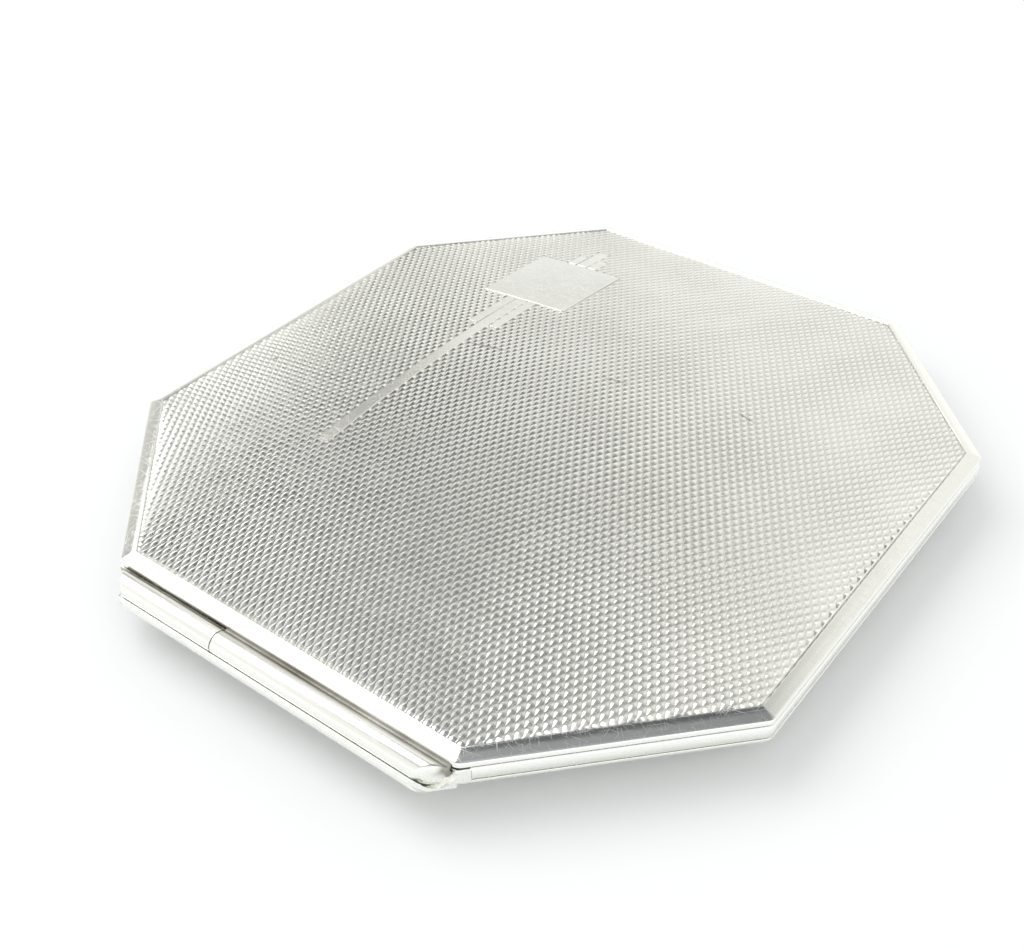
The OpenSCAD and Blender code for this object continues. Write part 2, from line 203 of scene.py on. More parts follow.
def silver(name, roughness, tarnish_and_shade, lines, marks=(), scratch_depth=0.7):
    """Sterling silver. The third argument is the dark colour's share where cut_depth is 1: real tarnish in the
    cuts, and painted shade with some dirt in the hinge barrel's hollow. Lines are the scratches' angles.
    """
    material, tree, shader, place = new_material(name)
    depth = add(tree, "ShaderNodeAttribute", attribute_name="cut_depth").outputs["Fac"]
    deep = add(tree, "ShaderNodeMath", {0: depth, 1: 2.0}, operation="POWER").outputs[0]
    patches = clouds(tree, place, 9)
    kept = add(tree, "ShaderNodeMapRange", {0: patches, 3: 0.6 * tarnish_and_shade, 4: tarnish_and_shade}).outputs[0]
    # Share of the dark colour: tarnish in the cuts, painted shade of the barrel's hollow beside the lid
    soil_and_shade = add(tree, "ShaderNodeMath", {0: deep, 1: kept}, operation="MULTIPLY").outputs[0]
    for centre, angle, size in marks:
        soil_and_shade = dark_mark(tree, place, soil_and_shade, centre, angle, size)
    scratch = scratches(tree, place, lines)
    haze = clouds(tree, place, 4, 0.3, 0.75)
    colour = blend_colour(tree, soil_and_shade, SILVER, TARNISH_AND_SHADE)
    tree.links.new(colour, shader.inputs["Base Color"])
    rough = sums(tree, roughness, (scratch, 0.16), (haze, 0.05), (soil_and_shade, 0.3))
    tree.links.new(rough, shader.inputs["Roughness"])
    shader.inputs["Metallic"].default_value = 1
    grain = add(tree, "ShaderNodeTexNoise", {"Vector": place, "Scale": 6.0, "Detail": 3.0}).outputs["Fac"]
    relief = sums(tree, 0.0, (scratch, -scratch_depth), (grain, 0.5))
    bump = add(tree, "ShaderNodeBump", {"Height": relief, "Strength": 0.5, "Distance": 0.006 * MM})
    tree.links.new(bump.outputs[0], shader.inputs["Normal"])
    return material


def dark_mark(tree, place, soil_and_shade, centre, angle, size):
    """Adds one short dark knock, as a stretched soft spot, to the mask of the dark colour."""
    moved = add(
        tree,
        "ShaderNodeVectorMath",
        {0: place, 1: (-centre[0], -centre[1], 0)},
        operation="ADD",
    )
    turned = add(tree, "ShaderNodeMapping", {0: moved.outputs[0], "Rotation": (0, 0, math.radians(-angle))})
    squeezed = add(
        tree,
        "ShaderNodeVectorMath",
        {0: turned.outputs[0], 1: (1 / size[0], 1 / size[1], 0)},
        operation="MULTIPLY",
    )
    reach = add(tree, "ShaderNodeVectorMath", {0: squeezed.outputs[0]}, operation="LENGTH").outputs[1]
    spot = add(tree, "ShaderNodeMapRange", {0: reach, 1: 1.0, 2: 0.4, 3: 0.0, 4: 0.6}).outputs[0]
    return add(tree, "ShaderNodeMath", {0: soil_and_shade, 1: spot}, operation="MAXIMUM").outputs[0]


LID_MARKS = [
    ((-11.6, 4.0), 10, (3.4, 0.22)),
    ((3.6, 6.4), 15, (2.0, 0.2)),
    ((17.2, 9.8), -10, (1.6, 0.2)),
    ((-31.4, -9.1), 40, (0.7, 0.35)),
]
turned_silver = silver("turned_silver", 0.17, 0.4, (20, 100, 152), LID_MARKS)
plain_silver = silver("plain_silver", 0.14, 0.9, (12, 47, 88, 133, 160), scratch_depth=0.25)
hinge_silver = silver("hinge_silver", 0.21, 0.95, (0, 3, 90), scratch_depth=0.4)
print("silver finishes:", turned_silver.name, plain_silver.name, hinge_silver.name)

# %% [markdown]
# ## Gold wash
# The inside is silver with a thin electroplated skin of gold, so that powder can't blacken it. It is pale,
# satin rather than bright, and worn back to silver in small patches.


# %% Gilt
def gilt(name, roughness=0.24, rings=False):
    """Pale satin gold wash. With rings, it is brushed in circles round the middle of the case."""
    material, tree, shader, place = new_material(name)
    worn = clouds(tree, place, 2.2, 0.60, 0.72, 5.0)
    cloudy = clouds(tree, place, 7)
    gold = blend_colour(tree, cloudy, linear("#EBCF8C"), linear("#E2C078"))
    worn_share = add(tree, "ShaderNodeMath", {0: worn, 1: 0.4}, operation="MULTIPLY").outputs[0]
    colour = blend_colour(tree, worn_share, gold, linear("#EFE8D6"))
    tree.links.new(colour, shader.inputs["Base Color"])
    shader.inputs["Metallic"].default_value = 1
    scratch = scratches(tree, place, (30, 115), fineness=7)
    tree.links.new(
        sums(tree, roughness, (scratch, 0.12), (cloudy, 0.07)), shader.inputs["Roughness"]
    )
    if rings:
        # Lathe marks are about 0.05 mm apart. They are drawn 0.3 mm apart, or none would show.
        flat = add(tree, "ShaderNodeVectorMath", {0: place, 1: (1, 1, 0)}, operation="MULTIPLY")
        brushed = add(
            tree,
            "ShaderNodeTexWave",
            {"Vector": flat.outputs[0], "Scale": 1.05, "Distortion": 0.6, "Detail": 3.0},
            wave_type="RINGS",
            rings_direction="SPHERICAL",
        ).outputs["Fac"]
    else:
        brushed = add(
            tree, "ShaderNodeTexNoise", {"Vector": place, "Scale": 5.0, "Detail": 4.0}
        ).outputs["Fac"]
    relief = sums(tree, 0.0, (scratch, -0.6), (brushed, 0.6))
    bump = add(tree, "ShaderNodeBump", {"Height": relief, "Strength": 0.5, "Distance": 0.008 * MM})
    tree.links.new(bump.outputs[0], shader.inputs["Normal"])
    return material


gold_wash = gilt("gold_wash")
turned_gold = gilt("turned_gold", 0.2, rings=True)

# %% [markdown]
# ## The octagon
# Both sheets have the same outline: a rectangle with its four corners cut off, so eight sides. Each side is
# held as the angle that it faces and its distance from the middle. That makes it easy to move the whole
# outline inwards, which is how borders, walls and the mirror follow the edge.

# %% Outline of the case
lid_low, lid_high = (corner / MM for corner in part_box("lid_cover"))
HALF_W = lid_high.x
HALF_D = lid_high.y
CUT_X, CUT_Y = 17.8, 18.9  # What each cut corner takes off the long sides
CORNER_R = 1.2
BORDER = 1.57  # Plain border outside the engine-turned field

cut_angle = math.atan2(CUT_X, CUT_Y)
cut_reach = (HALF_W - CUT_X) * math.cos(cut_angle) + HALF_D * math.sin(cut_angle)
quarter = math.pi / 2
SIDE_ANGLES = [
    side
    for turn in range(4)
    for side in (turn * quarter, turn * quarter + (cut_angle if turn % 2 == 0 else quarter - cut_angle))
] + [2 * math.pi]
SIDE_REACHES = [HALF_W, cut_reach, HALF_D, cut_reach] * 2 + [HALF_W]
SIDE_NORMALS = [(math.cos(a), math.sin(a)) for a in SIDE_ANGLES]


def corner_point(side, inset):
    """Where a side meets the next one, with every side moved in by inset."""
    (ax, ay), (bx, by) = SIDE_NORMALS[side], SIDE_NORMALS[side + 1]
    a, b = SIDE_REACHES[side] - inset, SIDE_REACHES[side + 1] - inset
    return np.array([a * by - b * ay, b * ax - a * bx]) / (ax * by - ay * bx)


def outline(inset, steps=6, arc_steps=4):
    """Points round the octagon, with softened corners and each straight side cut into steps."""
    radius = max(CORNER_R - inset, 0.25)
    arcs = []
    for side in range(8):
        centre = corner_point(side, inset + radius)
        turns = np.linspace(SIDE_ANGLES[side], SIDE_ANGLES[side + 1], arc_steps + 1)
        arcs.append(centre + radius * np.stack([np.cos(turns), np.sin(turns)], axis=1))
    points = []
    for side in range(8):
        start, end = arcs[side][-1], arcs[(side + 1) % 8][0]
        points.extend(arcs[side])
        points.extend(start + (end - start) * k / steps for k in range(1, steps))
    return np.array(points)


def pillow(x, y):
    """1 in the middle of the octagon, falling to 0 at the border's inner line."""
    value = np.ones_like(x, dtype=float)
    for (nx, ny), reach in list(zip(SIDE_NORMALS, SIDE_REACHES))[:4]:
        value = value * np.clip(1 - ((x * nx + y * ny) / (reach - BORDER)) ** 2, 0, 1)
    return value


print("case:", round(2 * HALF_W, 2), "by", round(2 * HALF_D, 2), "mm, cut corners", round(cut_reach, 2))

# %% [markdown]
# ## Heights of the two sheets
# The lid's dome rises steeply from its border and then flattens, like a shallow pillow. The underside does
# the same downwards, and ends in a flat that the case rests on.

# %% Dome and foot
LID_SIDE_Z = lid_low.z
LID_EDGE_Z = LID_SIDE_Z + 0.5
BEVEL = 0.4  # How far the border slopes down from its inner line to the edge
LINE_Z = LID_EDGE_Z + BEVEL
DOME = lid_high.z - LINE_Z
SHEET = 0.5
WALL = 0.55

FOOT = 3.3
BASE_EDGE_Z = FOOT + BEVEL
FLANGE_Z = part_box("base_pan")[1].z / MM


def dome_z(x, y):
    return LINE_Z + DOME * pillow(x, y) ** 0.56


def foot_z(x, y):
    return FOOT * np.clip(1 - pillow(x, y) ** 0.5 / 0.75, 0, 1) ** 2


print("dome", round(DOME, 2), "mm above its border; base flange at", round(FLANGE_Z, 2), "mm")

# %% [markdown]
# ## Engine turning
# A rose engine drags a pointed cutter along the sheet while a wavy pattern bar rocks it from side to side.
# For the next line the bar is shifted by half a wave, so two neighbouring cuts come together and part again,
# and the silver between them is left as rows of staggered grains, called barleycorn. The grain here is
# 0.445 mm wide and 1.4 mm long. It is real geometry: one column of points down each cut, and one along the
# ridge between two cuts. A pointed cutter has sides of one slope, so a ridge is highest where its cuts are
# furthest apart.

# %% A flat sheet of barleycorn
PITCH = 0.445
WAVE = 1.4
SWING = 0.13
CUT_SLOPE = 0.4
CUT_DEPTH = CUT_SLOPE * (PITCH / 2 + SWING)
WAVE_STEPS = 6


def barleycorn():
    """Points, faces and each point's column, over the octagon and a little beyond. Z is the height
    above the bottom of the cuts."""
    columns = np.arange(-int(2 * HALF_W / PITCH), int(2 * HALF_W / PITCH) + 1)
    rows = np.arange(-int(HALF_D * WAVE_STEPS / WAVE), int(HALF_D * WAVE_STEPS / WAVE))
    x, y = np.meshgrid(columns * PITCH / 2, (rows + 0.5) * WAVE / WAVE_STEPS, indexing="ij")
    direction = np.where((columns // 2) % 2 == 0, 1.0, -1.0)[:, None]
    swing = SWING * np.sin(2 * np.pi * y / WAVE) * direction
    is_cut = (columns % 2 == 0)[:, None]
    height = np.where(is_cut, 0.0, CUT_SLOPE * (PITCH / 2 - swing))
    x = x + np.where(is_cut, swing, 0.0)
    points = np.stack([x.ravel(), y.ravel(), height.ravel()], axis=1)

    count = len(rows)
    corner = (np.arange(len(columns) - 1)[:, None] * count + np.arange(count - 1)).ravel()
    faces = np.stack([corner, corner + count, corner + count + 1, corner + 1], axis=1)
    middle = points[faces].mean(axis=1)
    beyond = np.max(
        [middle[:, 0] * nx + middle[:, 1] * ny - r for (nx, ny), r in zip(SIDE_NORMALS, SIDE_REACHES)],
        axis=0,
    )
    faces = faces[beyond < -BORDER + 0.5]
    used, compact = np.unique(faces, return_inverse=True)
    return points[used], compact.reshape(-1, 4), used // count


points, faces, columns = barleycorn()
print("cut depth", round(CUT_DEPTH, 3), "mm;", len(faces), "faces in the flat sheet")

# %% [markdown]
# ## Cutting the field to shape
# The flat sheet is trimmed with a plane along each of the octagon's sides. The plain panel and bars on the
# lid are scored into it in the same way, and nothing is cut out: their points are only lifted to one smooth
# level later, so the mesh stays in one piece.


# %% Trim and score
def flat_field(panels):
    """The barleycorn sheet as a bmesh, trimmed to the border's inner line and scored round each panel."""
    mesh = bpy.data.meshes.new("field")
    mesh.from_pydata(points.tolist(), [], faces.tolist())
    ends = np.empty(2 * len(mesh.edges), dtype=np.int32)
    mesh.edges.foreach_get("vertices", ends)
    along = columns[ends[0::2]] == columns[ends[1::2]]
    mesh.shade_smooth()
    mesh.attributes.new("sharp_edge", "BOOLEAN", "EDGE").data.foreach_set("value", along)
    bm = bmesh.new()
    bm.from_mesh(mesh)
    bpy.data.meshes.remove(mesh)
    for normal, reach in list(zip(SIDE_NORMALS, SIDE_REACHES))[:8]:
        normal = Vector((*normal, 0))
        everything = bm.verts[:] + bm.edges[:] + bm.faces[:]
        bmesh.ops.bisect_plane(
            bm,
            geom=everything,
            dist=0.004,
            plane_co=normal * (reach - BORDER),
            plane_no=normal,
            clear_outer=True,
        )
    for low, high in panels:
        near = []
        for face in bm.faces:
            middle = face.calc_center_median()
            if all(low[i] - 0.5 < middle[i] < high[i] + 0.5 for i in (0, 1)):
                near.append(face)
        near = list({e for f in near for e in (*f.verts, *f.edges, f)})
        for inset in (0, PANEL_EDGE):
            for axis in (0, 1):
                for place in (low[axis] + inset, high[axis] - inset):
                    normal = Vector((axis == 0, axis == 1, 0))
                    near = bmesh.ops.bisect_plane(
                        bm, geom=near, dist=0.002, plane_co=normal * place, plane_no=normal
                    )["geom"]
    return bm


# %% [markdown]
# ## From points to a piece
# Every piece made in code ends in the same way: its sharp edges are marked, it is turned from millimetres to
# metres, and it takes the place of a CAD node. The record says which body that node rides on, so that need
# not be written again.


# %% Finish and dress a piece
def finished(bm, name, sharp=38):
    """Turn a bmesh in millimetres into an object in metres, with the edges above an angle kept sharp."""
    for edge in bm.edges:
        if len(edge.link_faces) == 2 and edge.calc_face_angle(0) > math.radians(sharp):
            edge.smooth = False
    bmesh.ops.scale(bm, vec=(MM,) * 3, verts=bm.verts)
    mesh = bpy.data.meshes.new(name)
    bm.to_mesh(mesh)
    bm.free()
    piece = bpy.data.objects.new(name, mesh)
    bpy.context.collection.objects.link(piece)
    print(name, len(mesh.polygons), "faces")
    return piece


def dress(piece, node, *materials):
    """Give a piece its materials, and let it stand for a CAD node and ride where that rides."""
    for material in materials:
        piece.data.materials.append(material)
    record = frame["record"]
    body = next(b for b, nodes in record["behaviour"]["bodies"].items() if node in nodes)
    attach(piece, body)
    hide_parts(node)
    return piece


# %% [markdown]
# ## From flat field to whole sheet
# The field is bent onto the dome by giving each point a new height. From its rim the border, the upright
# side and the inner face are added as rings round the octagon. The field's rim has over a thousand points
# and a ring has eighty, so the two are laced together: walk round both and always step on the one that lags.

# %% The sheet builder
PANEL_EDGE = 0.09  # Width of the engraved slope round a plain panel
LINE_DEPTH = 0.11  # Depth of the engraved line round a panel and inside the border
PANEL_DROP = 0.015  # Plain panels lie a hair below the top of the grain


def panel_share(x, y, panels):
    """0 in the field, and over a panel from 0 at its outline to 1 on its plain face. -1 is outside."""
    share = np.full(len(x), -1.0)
    for low, high in panels:
        inside = np.min([x - low[0], high[0] - x, y - low[1], high[1] - y], axis=0)
        share = np.where(inside > -0.003, np.maximum(share, np.clip(inside / PANEL_EDGE, 0, 1)), share)
    return share


def by_angle(verts):
    return sorted(verts, key=lambda v: math.atan2(v.co.y, v.co.x))


def lace(bm, inner, outer):
    """Triangles between two loops of different counts, both sorted by angle."""
    made = []
    i = j = 0
    n, m = len(inner), len(outer)

    def turn(loop, k):
        v = loop[k % len(loop)].co
        return math.atan2(v.y, v.x) + (2 * math.pi if k >= len(loop) else 0)

    while i < n or j < m:
        if j >= m or (i < n and turn(inner, i + 1) <= turn(outer, j + 1)):
            made.append(bm.faces.new((inner[i % n], outer[j % m], inner[(i + 1) % n])))
            i += 1
        else:
            made.append(bm.faces.new((inner[i % n], outer[j % m], outer[(j + 1) % m])))
            j += 1
    return made


def ring_faces(bm, a, b, material):
    count = len(a)
    for k in range(count):
        face = bm.faces.new((a[k], b[k], b[(k + 1) % count], a[(k + 1) % count]))
        face.material_index = material
        face.smooth = True


def domed_sheet(name, surface, up, edge_rings, panels=()):
    """One domed sheet of the case. Up is 1 for the lid, whose cuts go down, and -1 for the base.
    Edge rings are (inset, height, material index) from the field's rim to the inner face."""
    bm = flat_field(panels)
    depth = bm.verts.layers.float.new("cut_depth")
    field = bm.verts[:]
    rim = by_angle({v for e in bm.edges if e.is_boundary for v in e.verts})
    place = np.array([v.co[:] for v in field])
    x, y, height = place.T
    share = panel_share(x, y, panels)
    level = surface(x, y)
    below = np.where(
        share < 0,
        CUT_DEPTH - height,
        LINE_DEPTH + (PANEL_DROP - LINE_DEPTH) * np.maximum(share, 0),
    )
    for vert, z, low, part in zip(field, level - up * below, below, share):
        vert.co.z = z
        vert[depth] = 1 - part if part >= 0 else low / CUT_DEPTH
    rim_z = edge_rings[0][1] - up * LINE_DEPTH
    for vert in rim:
        vert.co.z = rim_z
        vert[depth] = 1
    for face in bm.faces:
        middle = face.calc_center_median()
        plain = any(all(l[i] < middle[i] < h[i] for i in (0, 1)) for l, h in panels)
        face.material_index = 1 if plain else 0
    for edge in bm.edges:
        if all(v[depth] == 0 for v in edge.verts):
            edge.smooth = True
    previous = None
    for inset, z, material in edge_rings:
        ring = by_angle([bm.verts.new((*p, z)) for p in outline(inset)])
        if previous is None:
            for face in lace(bm, rim, ring):
                face.material_index = material
                face.smooth = True
        else:
            ring_faces(bm, previous, ring, material)
        previous = ring
    inner_steps = 10
    for k in range(inner_steps, 0, -1):
        spread = math.sin(quarter * k / inner_steps)
        flat = outline(BORDER) * spread
        z = surface(flat[:, 0], flat[:, 1]) - up * SHEET
        ring = by_angle([bm.verts.new((*p, h)) for p, h in zip(flat, z)])
        ring_faces(bm, previous, ring, 2)
        previous = ring
    middle = bm.verts.new((0, 0, surface(np.zeros(1), np.zeros(1))[0] - up * SHEET))
    for k, vert in enumerate(previous):
        face = bm.faces.new((vert, middle, previous[(k + 1) % len(previous)]))
        face.material_index = 2
        face.smooth = True
    bmesh.ops.recalc_face_normals(bm, faces=bm.faces)
    return finished(bm, name)


# %% [markdown]
# ## The lid
# A plain square panel sits left of the middle, where such a case takes its owner's initials. It stays
# blank here. A long plain bar runs from it towards the hinge with a short bar on each side, and three short
# stepped bars stand on its far side.

# %% Lid
PANELS = [
    ((-20.9, 15.2), (-9.5, 27.0)),
    ((-15.9, -18.1), (-14.5, 15.1)),
    ((-17.2, 7.75), (-16.06, 15.1)),
    ((-14.34, 7.75), (-13.2, 15.1)),
    ((-15.9, 27.1), (-14.5, 32.2)),
    ((-17.2, 27.1), (-16.06, 29.8)),
    ((-14.34, 27.1), (-13.2, 29.8)),
]
LID_RINGS = [
    (BORDER - 0.14, LINE_Z, 1),
    (BORDER - 0.30, LINE_Z - 0.01, 1),
    (0.75, LID_EDGE_Z + BEVEL * 0.62, 1),
    (0.30, LID_EDGE_Z + BEVEL * 0.22, 1),
    (0.12, LID_EDGE_Z + BEVEL * 0.08, 1),
    (0.04, LID_EDGE_Z - 0.02, 1),
    (0.0, LID_EDGE_Z - 0.12, 1),
    (0.0, LID_SIDE_Z + 0.06, 1),
    (0.05, LID_SIDE_Z, 1),
    (WALL, LID_SIDE_Z, 1),
    (WALL, LINE_Z - SHEET - 0.1, 2),
]
lid_sheet = domed_sheet("lid_sheet", dome_z, 1, LID_RINGS, PANELS)
dress(lid_sheet, "lid_cover", turned_silver, plain_silver, gold_wash)

# %% [markdown]
# ## The base
# The base is the same kind of sheet turned over, and it is engine-turned too, so that the closed case feels
# alike on both sides. The cuts go up into the sheet, and the tops of the grain lie in one plane.

# %% Base
BASE_RINGS = [
    (BORDER - 0.14, FOOT, 1),
    (0.8, FOOT + 0.12, 1),
    (0.12, BASE_EDGE_Z - 0.02, 1),
    (0.03, BASE_EDGE_Z + 0.03, 1),
    (0.0, BASE_EDGE_Z + 0.12, 1),
    (0.0, FLANGE_Z - 0.03, 1),
    (0.03, FLANGE_Z, 1),
    (0.5, FLANGE_Z, 1),
    (0.85, FLANGE_Z, 2),
]
base_sheet = domed_sheet("base_sheet", foot_z, -1, BASE_RINGS)
dress(base_sheet, "base_pan", turned_silver, plain_silver, gold_wash)

# %% [markdown]
# ## Softened edges on the smaller metal parts
# A CAD solid has razor edges, and no polished part does. Each small part is copied from the frame, welded,
# and given a narrow rounded bevel. The bevel's only job is to catch the light in a thin line.


# %% Copy and soften
def soften(node, material, width=0.06, angle=38, segments=2):
    """A copy of a CAD node with rounded edges, riding where the node rides."""
    source = frame["nodes"][node]
    bm = bmesh.new()
    bm.from_mesh(source.data)
    bmesh.ops.remove_doubles(bm, verts=bm.verts, dist=0.002 * MM)
    bmesh.ops.dissolve_limit(bm, angle_limit=math.radians(0.6), verts=bm.verts, edges=bm.edges)
    for face in bm.faces:
        face.smooth = True
    for edge in bm.edges:
        edge.smooth = True
    mesh = bpy.data.meshes.new(node + "_piece")
    bm.to_mesh(mesh)
    bm.free()
    if "custom_normal" in mesh.attributes:
        mesh.attributes.remove(mesh.attributes["custom_normal"])
    rough = bpy.data.objects.new(node + "_rough", mesh)
    bpy.context.collection.objects.link(rough)
    bevel = rough.modifiers.new("bevel", "BEVEL")
    bevel.width = width * MM
    bevel.segments = segments
    bevel.limit_method = "ANGLE"
    bevel.angle_limit = math.radians(angle)
    bevel.use_clamp_overlap = True
    weigh = rough.modifiers.new("weigh", "WEIGHTED_NORMAL")
    weigh.keep_sharp = True
    graph = bpy.context.evaluated_depsgraph_get()
    bevelled = bpy.data.meshes.new_from_object(rough.evaluated_get(graph))
    bpy.data.objects.remove(rough)
    bevelled.name = node + "_piece"
    bevelled.materials.clear()
    piece = bpy.data.objects.new(node + "_piece", bevelled)
    bpy.context.collection.objects.link(piece)
    return dress(piece, node, material)


# %% [markdown]
# ## Steel and nickel silver
# The hinge pins and the rivets are drawn nickel silver, a hard grey-yellow alloy of copper, nickel and zinc.
# The leaf spring is blued spring steel.


# %% Pins and spring
def drawn_metal(name, pale, dark, roughness):
    """Wire or strip pulled through a die, with its draw marks along X."""
    material, tree, shader, place = new_material(name)
    drawn = add(tree, "ShaderNodeVectorMath", {0: place, 1: (0.4, 11, 11)}, operation="MULTIPLY")
    marks = add(tree, "ShaderNodeTexNoise", {"Vector": drawn.outputs[0], "Scale": 1.0}).outputs["Fac"]
    cloudy = clouds(tree, place, 1.5)
    tree.links.new(blend_colour(tree, cloudy, linear(pale), linear(dark)), shader.inputs["Base Color"])
    tree.links.new(sums(tree, roughness, (marks, 0.15)), shader.inputs["Roughness"])
    shader.inputs["Metallic"].default_value = 1
    bump = add(tree, "ShaderNodeBump", {"Height": marks, "Strength": 0.4, "Distance": 0.008 * MM})
    tree.links.new(bump.outputs[0], shader.inputs["Normal"])
    return material


nickel_silver = drawn_metal("nickel_silver", "#CFCBBE", "#B3AE9F", 0.2)
spring_steel = drawn_metal("spring_steel", "#7E8896", "#5E6672", 0.24)

# %% [markdown]
# ## The hinge
# Three long pieces make the visible hinge: a trough on the base, and a barrel in two lengths. Each is one
# section drawn along the hinge edge. Both ends are cut on the planes of the octagon's corner sides and
# rounded over, as a file leaves them. The long length belongs to the lid. A small hollow runs between the
# barrel and the lid's side. The barrel's points beside the lid carry cut_depth too, so the silver is dark
# there: painted shade of the hollow and of the shaded lid side that the barrel mirrors, with some real dirt.

# %% Hinge sections
hinge_axis = next(j for j in frame["joints"] if j["name"] == "lid_hinge")["pos_m"]
AXIS_Y, AXIS_Z = hinge_axis[1] / MM, hinge_axis[2] / MM
BARREL_R = 1.15
knuckle_low, knuckle_high = (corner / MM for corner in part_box("lid_knuckle"))
SPLIT_X = knuckle_low.x


def mitre_x(y, inset):
    """Half length of the hinge edge at depth y, with the two corner planes moved in by inset."""
    return (cut_reach - inset + y * math.sin(cut_angle)) / math.cos(cut_angle)


def arc(radius, start, end, steps):
    """Points of an arc in the YZ plane, in degrees from +Y towards +Z."""
    turns = np.radians(np.linspace(start, end, steps))
    return [(radius * math.cos(t), radius * math.sin(t)) for t in turns]


def end_stations(rounding):
    """How far each station of a rounded end stands back, and how much smaller its section is."""
    steps = 7
    angles = [math.radians(90 * k / steps) for k in range(steps + 1)]
    return [(rounding * (1 - math.cos(a)), rounding * (1 - math.sin(a))) for a in angles]


def hollow_shade_and_dirt(section, full, none):
    """Painted shade, with some real dirt: 1 on the side beside the lid, falling to 0 over the barrel's crown,
    between two angles in degrees.
    """
    turns = [math.degrees(math.atan2(z, y)) for y, z in section]
    return [min(max((none - t) / (none - full), 0), 1) if t > -20 else 0 for t in turns]


def moulding(name, section, left, right, heart=(0, 0), corner=0.0, shade_and_dirt=None):
    """A section (y, z) about the hinge axis, drawn along X between two rounded ends. A square end is
    (x, rounding) and a mitred one (inset, rounding, "mitre"). The ends shrink towards the section's heart,
    and corner rounds the two rear corners seen from above."""
    bm = bmesh.new()
    depth = bm.verts.layers.float.new("cut_depth")
    section = np.array(section)
    heart = np.array(heart)
    shade_and_dirt = shade_and_dirt or [0] * len(section)
    reach = np.linalg.norm(section - heart, axis=1, keepdims=True)
    behind = np.clip(corner - (section[:, 0] - section[:, 0].min()), 0, corner)
    drawn_in = corner - np.sqrt(corner**2 - behind**2)
    stations = []
    for side, (place, rounding, *mitred) in ((-1, left), (1, right)):
        ends = []
        for back, smaller in end_stations(rounding):
            shape = heart + (section - heart) * (1 - smaller / np.maximum(reach, smaller + 0.2))
            x = side * mitre_x(shape[:, 0] + AXIS_Y, place) if mitred else place
            x = x - side * (back + drawn_in)
            ends.append(np.column_stack([x, shape[:, 0] + AXIS_Y, shape[:, 1] + AXIS_Z]))
        stations.extend(ends if side < 0 else reversed(ends))
    rings = []
    for station in stations:
        ring = [bm.verts.new(point) for point in station]
        # Each point's share of painted shade, with some real dirt, in the hollow beside the lid, kept as cut_depth
        for vert, share in zip(ring, shade_and_dirt):
            vert[depth] = share
        rings.append(ring)
    for a, b in zip(rings, rings[1:]):
        for k in range(len(section)):
            n = (k + 1) % len(section)
            bm.faces.new((a[k], a[n], b[n], b[k])).smooth = True
    for ring in (rings[0], rings[-1]):
        bm.faces.new(ring)
    bmesh.ops.recalc_face_normals(bm, faces=bm.faces)
    return finished(bm, name, sharp=42)


# %% Hinge pieces
lid_barrel_section = arc(BARREL_R, 54, 390, 44) + [
    (1.15, 0.70),
    (1.15, 0.97),
    (1.09, 0.86),
    (1.0, 0.80),
    (0.90, 0.78),
    (0.80, 0.82),
]
trough_section = arc(BARREL_R + 0.035, 387, 194, 30) + [
    (-1.24, -0.24),
    (-1.34, -0.23),
    (-1.45, -0.29),
    (-1.53, -0.42),
    (-1.55, -0.62),
    (-1.54, -0.88),
    (-1.47, -1.12),
    (-1.33, -1.32),
    (-1.12, -1.44),
    (-0.80, -1.50),
    (1.15, -1.50),
    (1.15, -0.90),
    (2.0, -0.90),
    (2.0, 0.55),
]
BARREL_END = (0.15, 0.5, "mitre")
PIN_END = (1.3, 0.1, "mitre")  # The riveted pin ends inside the rounded ends
TROUGH_END = (-0.08, 0.15, "mitre")
base_barrel_section = arc(BARREL_R, 0, 352, 46)
# Both barrels get painted shade, with some real dirt, on their side beside the lid
lid_barrel = moulding(
    "lid_barrel",
    lid_barrel_section,
    (SPLIT_X, 0.05),
    BARREL_END,
    shade_and_dirt=hollow_shade_and_dirt(lid_barrel_section, 56, 96),
)
base_barrel = moulding(
    "base_barrel",
    base_barrel_section,
    BARREL_END,
    (SPLIT_X - 0.1, 0.05),
    shade_and_dirt=hollow_shade_and_dirt(base_barrel_section, 48, 84),
)
trough = moulding("hinge_trough", trough_section, TROUGH_END, TROUGH_END, (0.2, -1.2), corner=0.6)
pin = moulding("barrel_pin", arc(0.5, 0, 345, 24), PIN_END, PIN_END)
dress(lid_barrel, "lid_knuckle", hinge_silver)
dress(base_barrel, "base_knuckle", hinge_silver)
dress(trough, "hinge_cradle", hinge_silver)
dress(pin, "hinge_pin", nickel_silver)
print("barrel split at", round(SPLIT_X, 2), "mm of", round(knuckle_high.x, 2))

# %% Small metal parts
for node, width in {"base_rim": 0.05, "push_piece": 0.12}.items():
    soften(node, plain_silver, width, segments=3)
for node, width in {
    "base_bezel": 0.08,
    "powder_deck": 0.08,
    "powder_well": 0.08,
    "deck_knuckles": 0.06,
    "inner_lid_knuckle": 0.06,
    "lift_tab": 0.07,
    "catch_guide": 0.05,
    "lid_tongue": 0.05,
    "mirror_frame": 0.08,
}.items():
    soften(node, gold_wash, width)
soften("inner_lid", turned_gold, 0.08)
for node in ("inner_hinge_pin", "guide_rivets"):
    soften(node, nickel_silver, 0.05)
spring = soften("catch_spring", spring_steel, 0.03)
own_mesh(spring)
print("small parts softened")

# %% [markdown]
# ## Round pieces
# The powder, its pan and the puff are all round. Each is a profile swept about the case's middle, with as
# many steps round as its smallest detail needs. A profile may also change with the angle, which gives the
# puff its gathered edge.


